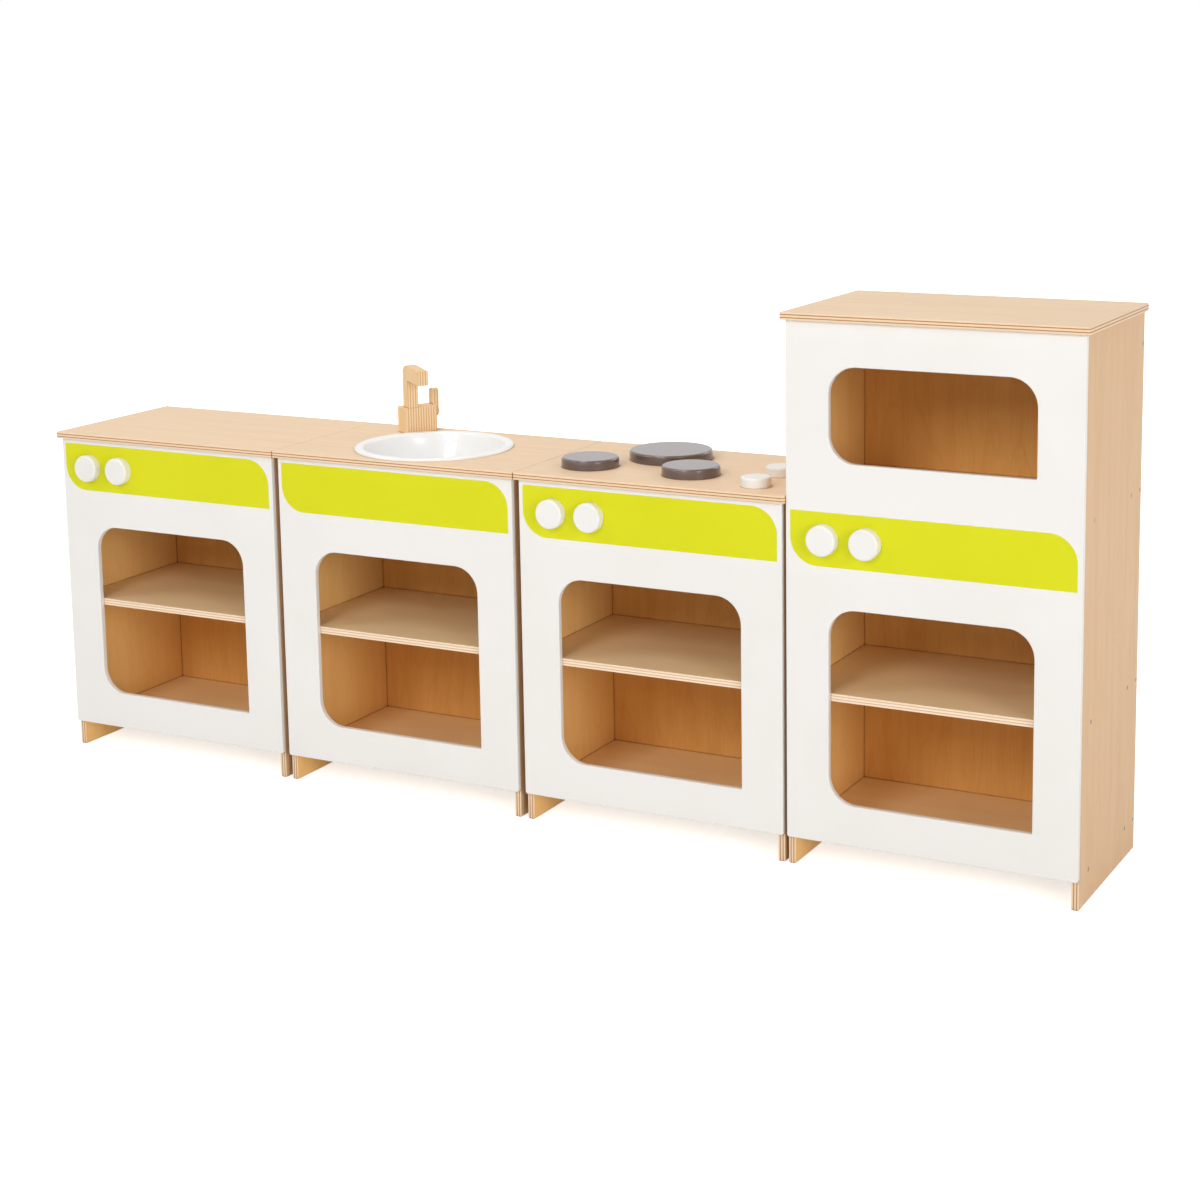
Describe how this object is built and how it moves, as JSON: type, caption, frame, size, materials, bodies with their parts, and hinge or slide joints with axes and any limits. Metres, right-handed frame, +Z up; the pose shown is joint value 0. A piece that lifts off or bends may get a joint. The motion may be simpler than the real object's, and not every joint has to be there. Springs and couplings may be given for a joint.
{
  "type": "play kitchen",
  "caption": "Row of play kitchen units in birch plywood with white fronts: plain worktop, sink with tap, hob and tall cupboard, with turning knobs and open shelves.",
  "frame": {"origin": "on the floor, under the middle of the overall box", "axes": "+X along the row towards the tall unit, -Y out of the fronts, +Z up"},
  "size_m": [1.977, 0.3288, 0.9],
  "materials": {
    "carcass_ply": "clear lacquered birch plywood",
    "worktop_ply": "clear lacquered birch plywood",
    "tap_ply": "clear lacquered birch plywood",
    "white_front": "white satin lacquer on board",
    "lime_strip": "lime film",
    "white_knob": "white satin lacquer",
    "white_basin": "white gloss",
    "hob_grey": "grey-brown gloss lacquer",
    "steel_bolt": "zinc plated",
    "steel_screw": "zinc plated"
  },
  "bodies": {
    "carcass": {"back_hob": "carcass_ply", "back_plain": "carcass_ply", "back_sink": "carcass_ply", "back_tall": "carcass_ply", "basin": "white_basin", "carcass_screws": "steel_screw", "deck_hob": "carcass_ply", "deck_plain": "carcass_ply", "deck_sink": "carcass_ply", "deck_tall": "carcass_ply", "front_hob": "white_front", "front_plain": "white_front", "front_sink": "white_front", "front_tall": "white_front", "hob_plate_left": "hob_grey", "hob_plate_rear": "hob_grey", "hob_plate_right": "hob_grey", "lever_bolt": "steel_bolt", "mid_deck_tall": "carcass_ply", "shelf_hob": "carcass_ply", "shelf_plain": "carcass_ply", "shelf_sink": "carcass_ply", "shelf_tall": "carcass_ply", "side_left_hob": "carcass_ply", "side_left_plain": "carcass_ply", "side_left_sink": "carcass_ply", "side_left_tall": "carcass_ply", "side_right_hob": "carcass_ply", "side_right_plain": "carcass_ply", "side_right_sink": "carcass_ply", "side_right_tall": "carcass_ply", "strip_hob": "lime_strip", "strip_plain": "lime_strip", "strip_sink": "lime_strip", "strip_tall": "lime_strip", "tap_block": "tap_ply", "tap_spout": "tap_ply", "top_tall": "worktop_ply", "worktop_hob": "worktop_ply", "worktop_plain": "worktop_ply", "worktop_sink": "worktop_ply"},
    "knob_plain_1_turn": {"knob_plain_1": "white_knob", "knob_bolt_plain_1": "steel_bolt"},
    "knob_plain_2_turn": {"knob_plain_2": "white_knob", "knob_bolt_plain_2": "steel_bolt"},
    "knob_hob_1_turn": {"knob_hob_1": "white_knob", "knob_bolt_hob_1": "steel_bolt"},
    "knob_hob_2_turn": {"knob_hob_2": "white_knob", "knob_bolt_hob_2": "steel_bolt"},
    "knob_tall_1_turn": {"knob_tall_1": "white_knob", "knob_bolt_tall_1": "steel_bolt"},
    "knob_tall_2_turn": {"knob_tall_2": "white_knob", "knob_bolt_tall_2": "steel_bolt"},
    "knob_top_1_turn": {"knob_top_1": "white_knob", "knob_bolt_top_1": "steel_bolt"},
    "knob_top_2_turn": {"knob_top_2": "white_knob", "knob_bolt_top_2": "steel_bolt"},
    "lever": {"tap_lever": "tap_ply"}
  },
  "joints": [
    {"name": "turn_knob_plain_1", "type": "hinge", "parent": "carcass", "child": "knob_plain_1_turn", "pos_m": [-0.9165, -0.14835, 0.5435], "axis": [0, -1, 0], "continuous": true},
    {"name": "turn_knob_plain_2", "type": "hinge", "parent": "carcass", "child": "knob_plain_2_turn", "pos_m": [-0.8445, -0.14835, 0.5435], "axis": [0, -1, 0], "continuous": true},
    {"name": "turn_knob_hob_1", "type": "hinge", "parent": "carcass", "child": "knob_hob_1_turn", "pos_m": [0.0755, -0.14835, 0.5435], "axis": [0, -1, 0], "continuous": true},
    {"name": "turn_knob_hob_2", "type": "hinge", "parent": "carcass", "child": "knob_hob_2_turn", "pos_m": [0.1475, -0.14835, 0.5435], "axis": [0, -1, 0], "continuous": true},
    {"name": "turn_knob_tall_1", "type": "hinge", "parent": "carcass", "child": "knob_tall_1_turn", "pos_m": [0.5645, -0.14835, 0.5435], "axis": [0, -1, 0], "continuous": true},
    {"name": "turn_knob_tall_2", "type": "hinge", "parent": "carcass", "child": "knob_tall_2_turn", "pos_m": [0.6365, -0.14835, 0.5435], "axis": [0, -1, 0], "continuous": true},
    {"name": "turn_knob_top_1", "type": "hinge", "parent": "carcass", "child": "knob_top_1_turn", "pos_m": [0.4245, -0.09565, 0.608], "axis": [0, 0, 1], "continuous": true},
    {"name": "turn_knob_top_2", "type": "hinge", "parent": "carcass", "child": "knob_top_2_turn", "pos_m": [0.4245, 0.00235, 0.608], "axis": [0, 0, 1], "continuous": true},
    {"name": "tip_lever", "type": "hinge", "parent": "carcass", "child": "lever", "pos_m": [-0.35036, 0.1467, 0.642], "axis": [0.5, 0.866, 0], "range_deg": [-30, 75]}
  ]
}
